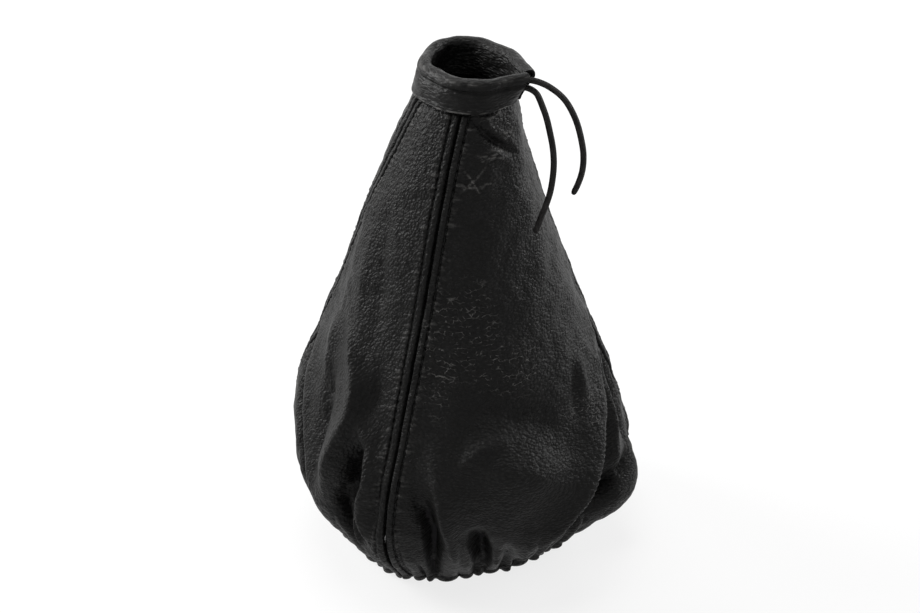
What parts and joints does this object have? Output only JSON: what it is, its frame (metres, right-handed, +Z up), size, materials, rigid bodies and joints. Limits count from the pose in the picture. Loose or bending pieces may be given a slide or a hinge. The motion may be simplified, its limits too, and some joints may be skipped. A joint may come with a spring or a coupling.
{
  "type": "gear lever gaiter",
  "caption": "Tall leather cover for a gear lever: a narrow folded collar with a drawstring, a cone of sewn panels, and a wide belly gathered into an elastic hem.",
  "frame": {"origin": "middle of the base, on the surface that the hem stands on", "axes": "+Z up through the collar, -Y towards the viewer of the picture, +X to the picture's right, where the collar's slit is"},
  "size_m": [0.1593, 0.1523, 0.235],
  "materials": {
    "leather": "black pebbled grain, satin",
    "lace": "black cut leather lace, satin",
    "thread": "black bonded sewing thread",
    "elastic": "black covered elastic cord"
  },
  "bodies": {
    "root": {"front_right_panel": "leather", "back_right_panel": "leather", "back_left_panel": "leather", "front_left_panel": "leather", "collar": "leather", "lace_in_collar": "lace", "lace_long_end": "lace", "lace_short_end": "lace", "hem_elastic": "elastic", "front_topstitch_left": "thread", "front_topstitch_right": "thread", "right_topstitch_left": "thread", "right_topstitch_right": "thread", "back_topstitch_left": "thread", "back_topstitch_right": "thread", "left_topstitch_left": "thread", "left_topstitch_right": "thread", "hem_stitching": "thread", "collar_stitching": "thread"}
  },
  "joints": []
}
